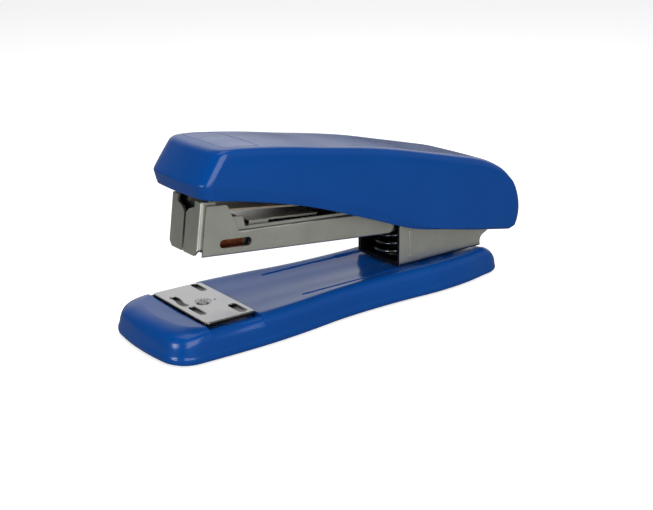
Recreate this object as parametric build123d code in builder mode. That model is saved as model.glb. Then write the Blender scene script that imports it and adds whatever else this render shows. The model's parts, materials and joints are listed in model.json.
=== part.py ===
from build123d import *
import os
from math import cos, radians, sin

os.makedirs("parts", exist_ok=True)

# Desktop stapler, millimetres. +X runs from the nose to the hinge, +Z is up, +Y is the far side.
# The origin is on the desk, under the middle of the base.

# ---------------------------------------------------------------- driving dimensions
BASE_LENGTH = 121.2
BASE_WIDTH = 36.0
BASE_TOP = 8.8
PAD_PROUD = 0.6
BASE_WALL = 2.2
BASE_EDGE_RADIUS = 3.0
GROOVE_Y = 9.87
GROOVE_LENGTH = 35.0
GROOVE_WIDTH = 1.1

ANVIL_X = -41.0
ANVIL_LENGTH = 15.0
ANVIL_WIDTH = 28.2
ANVIL_THICKNESS = 0.8
ANVIL_RECESS_DEPTH = 2.0

PIN_X = 49.5
PIN_Z = 18.6
PIN_RADIUS = 2.0
PIN_CLEARANCE = 0.05

MAGAZINE_TILT = 5.0
HANDLE_TILT = 10.9
BRACKET_HALF = 9.47
BRACKET_SHEET = 1.0
BRACKET_FRONT = 18.7
BRACKET_REAR = 51.1
EAR_RADIUS = 6.8
LIFT_SPRING_X = 25.0

CASE_HALF = 8.0
CASE_SHEET = 0.6
CHANNEL_HALF = 7.4
CHANNEL_SHEET = 0.7
CORE_HALF = 5.9
CORE_SHEET = 0.8
CORE_HEIGHT = 5.6
CASE_BOTTOM = -2.72
CASE_REAR = -31.3
TOWER_TOP = 10.5
WALL_TOP_FRONT = 3.5
WALL_TOP_REAR = 4.5
CHANNEL_PROUD = 0.75
FOLD_RADIUS = 0.8

STAPLE_CROWN = 12.9
STAPLE_WIRE = 0.5
STAPLE_HEIGHT = 6.0
STRIP_FRONT = -92.7
PUSHER_FRONT = -80.3
PUSHER_LENGTH = 22.3
ROD_HEIGHT = 2.2
ROD_RADIUS = 1.3

BLADE_DISTANCE = 93.6
BLADE_THICKNESS = 0.6
BLADE_HALF = 6.3
BLADE_BOTTOM = -2.6
FRAME_HALF = 8.35
FRAME_SHEET = 0.8
FRAME_TOP = 12.3

COVER_HALF = 14.2
COVER_WALL = 1.7

# ---------------------------------------------------------------- planes
desk = Plane.XY
side = Plane.XZ


def tilted_side(tilt):
    """Side plane through the hinge pin: x runs rearwards along the part, y points up."""
    along = (cos(radians(tilt)), 0, -sin(radians(tilt)))
    return Plane(origin=(PIN_X, 0, PIN_Z), x_dir=along, z_dir=(0, -1, 0))


def tilted_top(tilt):
    """Top plane through the hinge pin: x runs rearwards along the part, the normal points up."""
    along = (cos(radians(tilt)), 0, -sin(radians(tilt)))
    up = (sin(radians(tilt)), 0, cos(radians(tilt)))
    return Plane(origin=(PIN_X, 0, PIN_Z), x_dir=along, z_dir=up)


def tilted_cross(tilt, distance):
    """Cross-section plane at a distance from the pin along the part: x is across, y is up."""
    along = Vector(cos(radians(tilt)), 0, -sin(radians(tilt)))
    start = Vector(PIN_X, 0, PIN_Z) + along * distance
    return Plane(origin=start, x_dir=(0, -1, 0), z_dir=(-along.X, 0, -along.Z))


magazine_side = tilted_side(MAGAZINE_TILT)
magazine_top = tilted_top(MAGAZINE_TILT)
handle_side = tilted_side(HANDLE_TILT)
handle_top = tilted_top(HANDLE_TILT)

half_length = BASE_LENGTH / 2
half_width = BASE_WIDTH / 2


def finish(builder, label):
    builder.part.label = label
    export_step(builder.part, f"parts/{label}.step")


# ---------------------------------------------------------------- base
def base_outline(inset):
    """Closed plan outline of the base, drawn inset from its full size."""
    front_x = -half_length + inset
    corner_y = half_width - 7.2
    side_y = half_width - inset
    tail_x = half_length - inset
    waist = [(-27, 18), (-8, 15.7), (14, 15.3), (29, 16), (41, 15.1), (52.2 - inset, 12.4)]
    with BuildLine() as outline:
        nose = ThreePointArc((front_x + 0.6, -corner_y), (front_x, 0), (front_x + 0.6, corner_y))
        corner = ThreePointArc(
            nose @ 1,
            (front_x + 2.4, corner_y + 4.9 - inset * 0.7),
            (front_x + 7.1, side_y),
        )
        flank = Line(corner @ 1, (waist[0][0], side_y))
        hip = Spline(
            *[(x, y - inset) for x, y in waist],
            tangents=((1, 0), (0.912, -0.409)),
        )
        mirror(corner, about=Plane.XZ)
        mirror(flank, about=Plane.XZ)
        mirror(hip, about=Plane.XZ)
        ThreePointArc(hip @ 1, (tail_x, 0), Vector((hip @ 1).X, -(hip @ 1).Y))
    return outline


shell_bottom = PAD_PROUD
recess_floor = BASE_TOP - ANVIL_RECESS_DEPTH
recess_gap = 0.3
recess_skin = 1.4
top_skin = 1.8
pocket_ceiling = recess_floor - recess_skin
rear_ceiling = BASE_TOP - top_skin
rear_pocket_x = 11.0
rear_pocket_length = 76.0
rear_pocket_width = 25.0

outer_line = base_outline(0)
pocket_line = base_outline(BASE_WALL)
pad_line = base_outline(BASE_WALL + 0.15)

bracket_floor_top = BASE_TOP + BRACKET_SHEET
rivet_spots = [(36, 0), (46, 0)]
bracket_rivet_radius = 1.6
bracket_head_radius = 2.8
bracket_head = 0.9

with BuildPart() as base_shell:
    with BuildSketch(desk.offset(shell_bottom)):
        add(outer_line.line)
        make_face()
    extrude(amount=BASE_TOP - shell_bottom)
    fillet(base_shell.faces().sort_by(Axis.Z)[-1].edges(), radius=BASE_EDGE_RADIUS)
    # the top slopes down behind the bracket
    with BuildSketch(side):
        with BuildLine():
            slope = Spline((50.5, BASE_TOP), (57, 6.2), (61.2, 2.2), tangents=((1, 0), (0.6, -0.8)))
            Polyline(slope @ 1, (61.2, BASE_TOP + 1), (50.5, BASE_TOP + 1), slope @ 0)
        make_face()
    extrude(amount=half_width, both=True, mode=Mode.SUBTRACT)
    # underside pocket: shallow under the anvil, deeper behind it
    with BuildSketch(desk.offset(shell_bottom)):
        add(pocket_line.line)
        make_face()
        with Locations((half_length, 0)):
            Rectangle(14, BASE_WIDTH, mode=Mode.SUBTRACT)
    extrude(amount=pocket_ceiling - shell_bottom, mode=Mode.SUBTRACT)
    with BuildSketch(desk.offset(pocket_ceiling)):
        with Locations((rear_pocket_x, 0)):
            RectangleRounded(rear_pocket_length, rear_pocket_width, 3)
    extrude(amount=rear_ceiling - pocket_ceiling, mode=Mode.SUBTRACT)
    # transverse recess for the anvil, open at both sides
    with BuildSketch(desk.offset(recess_floor)):
        with Locations((ANVIL_X, 0)):
            Rectangle(ANVIL_LENGTH + 2 * recess_gap, BASE_WIDTH + 2)
    extrude(amount=ANVIL_RECESS_DEPTH + 1, mode=Mode.SUBTRACT)
    with Locations(Plane((ANVIL_X, 0, recess_floor))):
        Hole(radius=1.6, depth=3)
    # two long shallow grooves in the top, each with a wider rear stretch
    with BuildSketch(desk.offset(BASE_TOP)):
        for y in (-GROOVE_Y, GROOVE_Y):
            with Locations((2.0, y)):
                SlotOverall(GROOVE_LENGTH, GROOVE_WIDTH)
            with Locations((13.5, y)):
                Rectangle(10, 1.9)
    extrude(amount=-0.8, mode=Mode.SUBTRACT)
    with Locations(Plane((0, 0, BASE_TOP))):
        with Locations(*rivet_spots):
            Hole(radius=bracket_rivet_radius, depth=3)
finish(base_shell, "base_shell")

base_plate_thickness = 1.2
base_plate_gap = 0.3
with BuildPart() as base_plate:
    with BuildSketch(desk.offset(rear_ceiling - base_plate_thickness)):
        with Locations((rear_pocket_x, 0)):
            RectangleRounded(
                rear_pocket_length - 2 * base_plate_gap,
                rear_pocket_width - 2 * base_plate_gap,
                2.6,
            )
        with Locations(*rivet_spots):
            Circle(bracket_rivet_radius, mode=Mode.SUBTRACT)
        with Locations((-16, 0), (0, 0)):
            RectangleRounded(8, 10, 2, mode=Mode.SUBTRACT)
    extrude(amount=base_plate_thickness)
finish(base_plate, "base_plate")

pad_thickness = 1.8
button_hole_radius = 5.5
with BuildPart() as base_pad:
    with BuildSketch(desk):
        add(pad_line.line)
        make_face()
        with Locations((half_length, 0)):
            Rectangle(14.4, BASE_WIDTH, mode=Mode.SUBTRACT)
        with Locations((ANVIL_X, 0)):
            Circle(button_hole_radius, mode=Mode.SUBTRACT)
    extrude(amount=pad_thickness)
    # shallow grip grooves across the underside
    with BuildSketch(desk):
        with GridLocations(6, 1, 11, 1):
            with Locations((4, 0)):
                SlotOverall(20, 1.6, rotation=90)
    extrude(amount=0.4, mode=Mode.SUBTRACT)
finish(base_pad, "base_pad")

# ---------------------------------------------------------------- hinge bracket
with BuildPart() as hinge_bracket:
    with BuildSketch(side):
        with BuildLine():
            front = Line((BRACKET_FRONT, BASE_TOP), (BRACKET_FRONT, BASE_TOP + 12.6))
            crown = Line(front @ 1, (PIN_X - 0.9, PIN_Z + EAR_RADIUS))
            ear = ThreePointArc(
                crown @ 1,
                (PIN_X + EAR_RADIUS, PIN_Z),
                (PIN_X + EAR_RADIUS * cos(radians(58)), PIN_Z - EAR_RADIUS * sin(radians(58))),
            )
            neck = Spline(ear @ 1, (BRACKET_REAR - 0.3, BASE_TOP + 2.3), (BRACKET_REAR, BASE_TOP))
            Line(neck @ 1, front @ 0)
        make_face()
    extrude(amount=BRACKET_HALF, both=True)
    foot_edges = hinge_bracket.faces().sort_by(Axis.Z)[0].edges().sort_by(Axis.Y)
    fillet([foot_edges[0], foot_edges[-1]], radius=FOLD_RADIUS)
    # everything between the two cheeks, above the floor
    with BuildSketch(side):
        with Locations(((BRACKET_FRONT + BRACKET_REAR) / 2, bracket_floor_top + 20)):
            Rectangle(80, 40)
    extrude(amount=BRACKET_HALF - BRACKET_SHEET, both=True, mode=Mode.SUBTRACT)
    with BuildSketch(side):
        with Locations((PIN_X, PIN_Z)):
            Circle(PIN_RADIUS)
    extrude(amount=BRACKET_HALF, both=True, mode=Mode.SUBTRACT)
    with Locations(Plane((0, 0, bracket_floor_top))):
        with Locations(*rivet_spots):
            Hole(radius=bracket_rivet_radius, depth=2)
    # raised ring that centres the lift spring
    with BuildSketch(desk.offset(bracket_floor_top)):
        with Locations((LIFT_SPRING_X, 0)):
            Circle(3.6)
            Circle(2.6, mode=Mode.SUBTRACT)
    extrude(amount=0.7)
    # pressed stiffening rib down each cheek
    for cheek in (-1, 1):
        with BuildSketch(side.offset(-cheek * (BRACKET_HALF - BRACKET_SHEET / 2))):
            with Locations((22.8, BASE_TOP + 7.2)):
                SlotOverall(10.4, 1.0, rotation=90)
        extrude(amount=-cheek * (BRACKET_SHEET / 2 + 0.25))
finish(hinge_bracket, "hinge_bracket")

with BuildPart() as bracket_rivets:
    with BuildSketch(desk.offset(rear_ceiling - base_plate_thickness)):
        with Locations(*rivet_spots):
            Circle(bracket_rivet_radius)
    extrude(amount=bracket_floor_top - rear_ceiling + base_plate_thickness)
    with BuildSketch(desk.offset(rear_ceiling - base_plate_thickness)):
        with Locations(*rivet_spots):
            Circle(bracket_head_radius)
    extrude(amount=-bracket_head)
    with BuildSketch(desk.offset(bracket_floor_top)):
        with Locations(*rivet_spots):
            Circle(bracket_head_radius)
    extrude(amount=bracket_head, taper=20)
finish(bracket_rivets, "bracket_rivets")

head_radius = 3.6
head_thickness = 1.0
with BuildPart() as hinge_pin:
    with BuildSketch(side):
        with Locations((PIN_X, PIN_Z)):
            Circle(PIN_RADIUS)
    extrude(amount=BRACKET_HALF + head_thickness, both=True)
    for cheek in (-1, 1):
        with BuildSketch(side.offset(cheek * BRACKET_HALF)):
            with Locations((PIN_X, PIN_Z)):
                Circle(head_radius)
        extrude(amount=cheek * head_thickness)
    chamfer(hinge_pin.faces().filter_by(Axis.Y).sort_by(Axis.Y)[0].edges(), length=0.4)
    chamfer(hinge_pin.faces().filter_by(Axis.Y).sort_by(Axis.Y)[-1].edges(), length=0.4)
finish(hinge_pin, "hinge_pin")


lift_wire_radius = 0.5
lift_spring_height = 7.2
lift_spring_turns = 3.5
lift_spring_radius = 6.4
with BuildPart() as lift_spring:
    with BuildLine():
        lift_path = Helix(
            lift_spring_height / lift_spring_turns,
            lift_spring_height,
            lift_spring_radius,
            center=(LIFT_SPRING_X, 0, bracket_floor_top + lift_wire_radius + 0.02),
            cone_angle=-12,
        )
    with BuildSketch(Plane(origin=lift_path @ 0, z_dir=lift_path % 0)):
        Circle(lift_wire_radius)
    sweep(is_frenet=True)
finish(lift_spring, "lift_spring")

# ---------------------------------------------------------------- anvil
plate_bottom = BASE_TOP + 0.06
plate_top = plate_bottom + ANVIL_THICKNESS
pin_shank = 1.5
pin_head_radius = 2.3
lower_head = 0.75
button_radius = 5.0
button_bottom = 0.4
button_top = 2.0
counterbore = 0.85

with BuildPart() as anvil_plate:
    with BuildSketch(desk.offset(plate_bottom)):
        with Locations((ANVIL_X, 0)):
            RectangleRounded(ANVIL_LENGTH, ANVIL_WIDTH, 1.2)
            Circle(pin_shank, mode=Mode.SUBTRACT)
    extrude(amount=ANVIL_THICKNESS)
    # clinch grooves: the front pair folds the legs inwards, the rear pair outwards
    with BuildSketch(desk.offset(plate_top)):
        with Locations((ANVIL_X - 4.7, 4.0), (ANVIL_X - 4.7, -4.7)):
            SlotOverall(7.6, 1.7, rotation=90)
        with Locations((ANVIL_X + 4.8, 9.8), (ANVIL_X + 4.8, -9.8)):
            SlotOverall(6.4, 1.9, rotation=90)
    extrude(amount=-0.45, mode=Mode.SUBTRACT)
finish(anvil_plate, "anvil_plate")

with BuildPart() as anvil_pin:
    with BuildSketch(desk.offset(button_bottom + counterbore)):
        with Locations((ANVIL_X, 0)):
            Circle(pin_shank)
    extrude(amount=plate_top - button_bottom - counterbore)
    with BuildSketch(desk.offset(plate_top)):
        with Locations((ANVIL_X, 0)):
            Circle(pin_head_radius)
    extrude(amount=0.35, taper=25)
    # peened head, inside the button's counterbore
    with BuildSketch(desk.offset(button_bottom + counterbore - lower_head)):
        with Locations((ANVIL_X, 0)):
            Circle(pin_head_radius)
    extrude(amount=lower_head)
finish(anvil_pin, "anvil_pin")

with BuildPart() as anvil_button:
    with BuildSketch(desk.offset(button_bottom)):
        with Locations((ANVIL_X, 0)):
            Circle(button_radius)
    extrude(amount=button_top - button_bottom)
    chamfer(anvil_button.faces().sort_by(Axis.Z)[0].edges(), length=0.4)
    with BuildSketch(desk.offset(button_top)):
        with Locations((ANVIL_X, 0)):
            Circle(2.6)
    extrude(amount=1.0)
    with BuildSketch(desk.offset(button_bottom)):
        with Locations((ANVIL_X, 0)):
            Circle(pin_shank + PIN_CLEARANCE)
    extrude(amount=5, mode=Mode.SUBTRACT)
    with BuildSketch(desk.offset(button_bottom)):
        with Locations((ANVIL_X, 0)):
            Circle(pin_head_radius + 0.1)
    extrude(amount=counterbore + 0.05, mode=Mode.SUBTRACT)
finish(anvil_button, "anvil_button")

with BuildPart() as anvil_spring:
    with BuildLine():
        anvil_path = Helix(
            0.9,
            pocket_ceiling - button_top - 0.8,
            3.6,
            center=(ANVIL_X, 0, button_top + 0.4),
        )
    with BuildSketch(Plane(origin=anvil_path @ 0, z_dir=anvil_path % 0)):
        Circle(0.3)
    sweep(is_frenet=True)
finish(anvil_spring, "anvil_spring")

# ---------------------------------------------------------------- magazine
face_bottom = -95.53
face_top = -94.75
face_height = 11.38
face_lean = (face_top - face_bottom) / (face_height - CASE_BOTTOM)


def face_at(height, behind=0.0):
    """Distance from the pin of the head's front face at a height, or of a line behind it."""
    return face_bottom + face_lean * (height - CASE_BOTTOM) + behind


case_front = 0.8
channel_bottom = CASE_BOTTOM + CASE_SHEET
core_bottom = channel_bottom + CHANNEL_SHEET
core_top = core_bottom + CORE_HEIGHT
core_floor = core_bottom + CORE_SHEET
case_rivets = [(-72, 0), (-44, 0)]
stop_rivet = [(-28.4, 0)]
case_rivet_radius = 1.2
rivet_head = 0.5
window_centre = (-85.0, 0.35)
window_length = 9.6
window_height = 2.3

with BuildPart() as magazine_case:
    with BuildSketch(magazine_side) as case_profile:
        with BuildLine():
            Polyline(
                (face_at(CASE_BOTTOM, case_front), CASE_BOTTOM),
                (face_at(TOWER_TOP, case_front), TOWER_TOP),
                (-88.1, TOWER_TOP),
                (-84.3, WALL_TOP_FRONT),
                (CASE_REAR, WALL_TOP_REAR),
                (CASE_REAR, CASE_BOTTOM),
                close=True,
            )
        make_face()
        fillet(case_profile.vertices().group_by(Axis.Y)[-1].sort_by(Axis.X)[-1], radius=1.1)
        fillet(case_profile.vertices().group_by(Axis.X)[-1], radius=2.4)
    extrude(amount=CASE_HALF, both=True)
    case_folds = magazine_case.faces().sort_by(Axis.Z)[0].edges().sort_by(Axis.Y)
    fillet([case_folds[0], case_folds[-1]], radius=CASE_SHEET)
    with BuildSketch(magazine_side):
        with Locations((-60, channel_bottom + 20)):
            Rectangle(90, 40)
        # mouth that the staples leave through
        with Locations((STRIP_FRONT - 4.7, 0)):
            Rectangle(10, 40)
    extrude(amount=CASE_HALF - CASE_SHEET, both=True, mode=Mode.SUBTRACT)
    with BuildSketch(magazine_side):
        with Locations(window_centre):
            SlotOverall(window_length, window_height)
    extrude(amount=CASE_HALF, both=True, mode=Mode.SUBTRACT)
    with BuildSketch(magazine_top.offset(CASE_BOTTOM)):
        with Locations(*case_rivets):
            Circle(case_rivet_radius)
    extrude(amount=CASE_SHEET, mode=Mode.SUBTRACT)
finish(magazine_case, "magazine_case")

channel_floor_rear = -19.0
arm_radius = 4.5

with BuildPart() as staple_channel:
    with BuildSketch(magazine_side) as channel_profile:
        with BuildLine():
            front = Polyline(
                (-60, channel_bottom),
                (face_at(channel_bottom), channel_bottom),
                (face_top, face_height),
                (-91.5, face_height),
                (-90.6, TOWER_TOP - 0.6),
                (-88.4, TOWER_TOP - 0.6),
                (-86.5, 7.0),
                (-82.9, 7.0),
                (-82.0, WALL_TOP_FRONT + CHANNEL_PROUD),
                (CASE_REAR, WALL_TOP_REAR + CHANNEL_PROUD),
                (-1.0, arm_radius),
            )
            arm = ThreePointArc(front @ 1, (arm_radius, 0), (-1.0, -arm_radius))
            Polyline(arm @ 1, (channel_floor_rear, channel_bottom), (-60, channel_bottom))
        make_face()
    extrude(amount=CHANNEL_HALF, both=True)
    face_edges = staple_channel.faces().sort_by(Axis.X)[0].edges().sort_by(Axis.Y)
    fillet([face_edges[0], face_edges[-1]], radius=FOLD_RADIUS)
    with BuildSketch(magazine_side):
        # inside of the channel, and everything behind its floor
        with BuildLine():
            Polyline(
                (face_at(-20, CHANNEL_SHEET), -20),
                (face_at(30, CHANNEL_SHEET), 30),
                (20, 30),
                (20, -20),
                (channel_floor_rear, -20),
                (channel_floor_rear, channel_bottom + CHANNEL_SHEET),
                (STRIP_FRONT, channel_bottom + CHANNEL_SHEET),
                (STRIP_FRONT, -20),
                close=True,
            )
        make_face()
    extrude(amount=CHANNEL_HALF - CHANNEL_SHEET, both=True, mode=Mode.SUBTRACT)
    with BuildSketch(magazine_side):
        with Locations(window_centre):
            SlotOverall(window_length, window_height)
        with Locations((0, 0)):
            Circle(PIN_RADIUS + PIN_CLEARANCE)
    extrude(amount=CHANNEL_HALF, both=True, mode=Mode.SUBTRACT)
    # slit and V notch between the two front flaps
    with BuildSketch(tilted_cross(MAGAZINE_TILT, face_bottom - 1)):
        with Locations((0, 0)):
            Rectangle(1.0, 40)
        with BuildLine():
            Polyline(
                (-4.3, face_height + 1),
                (-4.3, face_height - 1.6),
                (-1.6, face_height - 2.6),
                (0, face_height - 4.4),
                (1.6, face_height - 2.6),
                (4.3, face_height - 1.6),
                (4.3, face_height + 1),
                close=True,
            )
        make_face()
        # clipped lower corners
        for y in (-CHANNEL_HALF, CHANNEL_HALF):
            with Locations((y, channel_bottom)):
                RegularPolygon(1.9, 4, rotation=0)
    extrude(amount=-3, mode=Mode.SUBTRACT)
    with BuildSketch(magazine_top.offset(channel_bottom)):
        with Locations(*case_rivets, *stop_rivet):
            Circle(case_rivet_radius)
    extrude(amount=CHANNEL_SHEET, mode=Mode.SUBTRACT)
finish(staple_channel, "staple_channel")

core_rear = -34.0
core_inner = CORE_HALF - CORE_SHEET
stop_front = -33.0

with BuildPart() as staple_core:
    with BuildSketch(magazine_side):
        with BuildLine():
            Polyline(
                (STRIP_FRONT, core_bottom),
                (STRIP_FRONT, core_top),
                (core_rear, core_top),
                (core_rear, core_bottom),
                close=True,
            )
        make_face()
    extrude(amount=CORE_HALF, both=True)
    with BuildSketch(magazine_side):
        with Locations((-59.9, core_floor + 20)):
            Rectangle(64, 40)
    extrude(amount=core_inner, both=True, mode=Mode.SUBTRACT)
    # front bulkhead is drilled for the guide rod
    with BuildSketch(tilted_cross(MAGAZINE_TILT, STRIP_FRONT)):
        with Locations((0, ROD_HEIGHT)):
            Circle(ROD_RADIUS)
    extrude(amount=-1.2, mode=Mode.SUBTRACT)
    with BuildSketch(magazine_top.offset(core_floor)):
        with Locations(*case_rivets):
            Circle(case_rivet_radius)
    extrude(amount=-CORE_SHEET, mode=Mode.SUBTRACT)
finish(staple_core, "staple_core")

with BuildPart() as guide_rod:
    with BuildSketch(tilted_cross(MAGAZINE_TILT, STRIP_FRONT + 0.1)):
        with Locations((0, ROD_HEIGHT)):
            Circle(ROD_RADIUS)
    extrude(amount=-60.9)
    chamfer(guide_rod.faces().filter_by(GeomType.PLANE).edges(), length=0.25)
finish(guide_rod, "guide_rod")

stop_half = CHANNEL_HALF - CHANNEL_SHEET - 0.05
stop_sheet = 0.8
stop_rear = -26.0
with BuildPart() as spring_stop:
    with BuildSketch(magazine_side):
        with BuildLine():
            Polyline(
                (stop_front, core_bottom),
                (stop_front, core_top + 0.6),
                (stop_front + stop_sheet, core_top + 0.6),
                (stop_front + stop_sheet, core_bottom + stop_sheet),
                (stop_rear, core_bottom + stop_sheet),
                (stop_rear, core_bottom),
                close=True,
            )
        make_face()
    extrude(amount=stop_half, both=True)
    with BuildSketch(tilted_cross(MAGAZINE_TILT, stop_front)):
        with Locations((0, ROD_HEIGHT)):
            Circle(ROD_RADIUS)
    extrude(amount=-1, mode=Mode.SUBTRACT)
    with BuildSketch(magazine_top.offset(core_bottom)):
        with Locations(*stop_rivet):
            Circle(case_rivet_radius)
    extrude(amount=stop_sheet, mode=Mode.SUBTRACT)
finish(spring_stop, "spring_stop")

with BuildPart() as channel_rivets:
    with BuildSketch(magazine_top.offset(CASE_BOTTOM)):
        with Locations(*case_rivets):
            Circle(case_rivet_radius)
    extrude(amount=core_floor - CASE_BOTTOM)
    with BuildSketch(magazine_top.offset(core_floor)):
        with Locations(*case_rivets, *stop_rivet):
            Circle(2.0)
    extrude(amount=rivet_head, taper=15)
    with BuildSketch(magazine_top.offset(channel_bottom)):
        with Locations(*stop_rivet):
            Circle(case_rivet_radius)
    extrude(amount=core_floor - channel_bottom)
finish(channel_rivets, "channel_rivets")

crown_half = STAPLE_CROWN / 2
crown_bottom = core_top
leg_bottom = crown_bottom + STAPLE_WIRE - STAPLE_HEIGHT
strip_length = PUSHER_FRONT - STRIP_FRONT - 0.1
with BuildPart() as staple_strip:
    with BuildSketch(tilted_cross(MAGAZINE_TILT, STRIP_FRONT + 0.05)):
        with BuildLine():
            Polyline(
                (-crown_half, leg_bottom),
                (-crown_half, crown_bottom + STAPLE_WIRE),
                (crown_half, crown_bottom + STAPLE_WIRE),
                (crown_half, leg_bottom),
                (crown_half - STAPLE_WIRE, leg_bottom),
                (crown_half - STAPLE_WIRE, crown_bottom),
                (STAPLE_WIRE - crown_half, crown_bottom),
                (STAPLE_WIRE - crown_half, leg_bottom),
                close=True,
            )
        make_face()
    extrude(amount=-strip_length)
finish(staple_strip, "staple_strip")

pusher_bottom = core_top + STAPLE_WIRE + 0.15
pusher_sheet = 0.55
ear_half = 6.55
ear_length = 6.0
ear_depth = 5.4
core_clearance = 0.08
tab_bottom = core_floor + rivet_head + 0.3
with BuildPart() as pusher:
    with BuildSketch(magazine_top.offset(pusher_bottom)):
        with Locations((PUSHER_FRONT + PUSHER_LENGTH / 2, 0)):
            Rectangle(PUSHER_LENGTH, 2 * CORE_HALF)
        with Locations((PUSHER_FRONT + ear_length / 2, 0)):
            Rectangle(ear_length, 2 * ear_half)
    extrude(amount=pusher_sheet)
    # ears outside the core
    ear_sheet = ear_half - CORE_HALF - core_clearance
    for y in (-1, 1):
        with BuildSketch(magazine_top.offset(pusher_bottom)):
            with Locations((PUSHER_FRONT + ear_length / 2, y * (ear_half - ear_sheet / 2))):
                Rectangle(ear_length, ear_sheet)
        extrude(amount=-ear_depth)
    # tab inside the core, which the rod and its spring pass
    with BuildSketch(tilted_cross(MAGAZINE_TILT, PUSHER_FRONT)):
        with Locations((0, (pusher_bottom + tab_bottom) / 2)):
            Rectangle(2 * core_inner - 0.3, pusher_bottom - tab_bottom)
        with Locations((0, ROD_HEIGHT)):
            Circle(ROD_RADIUS + core_clearance, mode=Mode.SUBTRACT)
    extrude(amount=-0.7)
finish(pusher, "pusher")

spring_wire_radius = 0.25
spring_turns = 24
spring_start = PUSHER_FRONT + 0.7 + spring_wire_radius + 0.05
spring_length = stop_front - spring_start - spring_wire_radius - 0.05
with BuildPart() as pusher_spring:
    with BuildLine():
        start_point = magazine_side.from_local_coords((spring_start, ROD_HEIGHT, 0))
        pusher_path = Helix(
            spring_length / spring_turns,
            spring_length,
            1.8,
            center=start_point,
            direction=magazine_side.x_dir,
        )
    with BuildSketch(Plane(origin=pusher_path @ 0, z_dir=pusher_path % 0)):
        Circle(spring_wire_radius)
    sweep(is_frenet=True)
finish(pusher_spring, "pusher_spring")

# ---------------------------------------------------------------- handle
frame_front = -94.8
frame_inner = FRAME_HALF - FRAME_SHEET
frame_under = FRAME_TOP - FRAME_SHEET
ear_of_frame = 5.2
driver_rivet_spots = [(-89, 3.2), (-89, -3.2)]
leaf_rivet_spot = [(-33, 0)]
small_rivet_radius = 1.1
small_head_radius = 1.9
small_head = 0.45

with BuildPart() as handle_frame:
    with BuildSketch(handle_side):
        with BuildLine():
            roof = Polyline(
                (-20, -2.2),
                (-27, 5.8),
                (-76, 5.8),
                (-81, frame_under),
                (frame_front, frame_under),
                (frame_front, FRAME_TOP),
                (-8, FRAME_TOP),
                (ear_of_frame * cos(radians(30)), ear_of_frame * sin(radians(30))),
            )
            ear = ThreePointArc(roof @ 1, (ear_of_frame * 0.766, -ear_of_frame * 0.643), (-1.4, -5.0))
            Line(ear @ 1, roof @ 0)
        make_face()
    extrude(amount=FRAME_HALF, both=True)
    with BuildSketch(handle_side):
        with Locations((-44, frame_under - 20)):
            Rectangle(110, 40)
    extrude(amount=frame_inner, both=True, mode=Mode.SUBTRACT)
    with BuildSketch(handle_side):
        Circle(PIN_RADIUS + PIN_CLEARANCE)
    extrude(amount=FRAME_HALF, both=True, mode=Mode.SUBTRACT)
    with BuildSketch(handle_top.offset(FRAME_TOP)):
        with Locations(*driver_rivet_spots, *leaf_rivet_spot):
            Circle(small_rivet_radius)
        with Locations((-66, 0)):
            RectangleRounded(12, 8, 3)
    extrude(amount=-FRAME_SHEET, mode=Mode.SUBTRACT)
finish(handle_frame, "handle_frame")

blade_tab = 0.6
with BuildPart() as driver_blade:
    with BuildSketch(tilted_cross(HANDLE_TILT, -BLADE_DISTANCE - BLADE_THICKNESS / 2)):
        with Locations((0, (BLADE_BOTTOM + frame_under) / 2)):
            Rectangle(2 * BLADE_HALF, frame_under - BLADE_BOTTOM)
    extrude(amount=-BLADE_THICKNESS)
    with BuildSketch(handle_top.offset(frame_under)):
        with Locations((-BLADE_DISTANCE + 4, 0)):
            RectangleRounded(8.4, 10.4, 1)
        with Locations(*driver_rivet_spots):
            Circle(small_rivet_radius, mode=Mode.SUBTRACT)
    extrude(amount=-blade_tab)
finish(driver_blade, "driver_blade")


def riveting(spots, low, high):
    """Small rivets through the handle's sheet parts, with a low head at each end."""
    with BuildPart() as rivets:
        with BuildSketch(handle_top.offset(low)):
            with Locations(*spots):
                Circle(small_rivet_radius)
        extrude(amount=high - low)
        with BuildSketch(handle_top.offset(high)):
            with Locations(*spots):
                Circle(small_head_radius)
        extrude(amount=small_head, taper=20)
        with BuildSketch(handle_top.offset(low)):
            with Locations(*spots):
                Circle(small_head_radius)
        extrude(amount=-small_head, taper=20)
    return rivets


driver_rivets = riveting(driver_rivet_spots, frame_under - blade_tab, FRAME_TOP)
finish(driver_rivets, "driver_rivets")

leaf_sheet = 0.6
leaf_seat = frame_under - leaf_sheet / 2
with BuildPart() as return_spring:
    with BuildSketch(handle_side):
        with BuildLine():
            leaf = Line((-88.4, -0.75), (-52, 2.1))
            rise = Spline(leaf @ 1, (-40, leaf_seat), tangents=(leaf % 1, (1, 0)))
            Line(rise @ 1, (-29, leaf_seat))
        trace(line_width=leaf_sheet)
    extrude(amount=5, both=True)
    with BuildSketch(handle_top.offset(frame_under)):
        with Locations(*leaf_rivet_spot):
            Circle(small_rivet_radius)
    extrude(amount=-leaf_sheet, mode=Mode.SUBTRACT)
finish(return_spring, "return_spring")

spring_rivet = riveting(leaf_rivet_spot, frame_under - leaf_sheet, FRAME_TOP)
finish(spring_rivet, "spring_rivet")

# ---------------------------------------------------------------- cover
nose_bottom = (-47.4, 40.3)
nose_ridge = (-48.2, 43.8)
cover_front = (-39.0, 52.5)
lip_rear = (20.6, 20.5)
tail_bottom = (60.4, 13.2)
tail_back = (64.5, 18.6)
tail_top = (57.6, 31.8)
# across the cover: share of the half width, and how far the crown and the two ends draw in there
cover_rounding = [(1.0, 3.8), (0.87, 1.0), (0.66, 0.0)]


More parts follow.
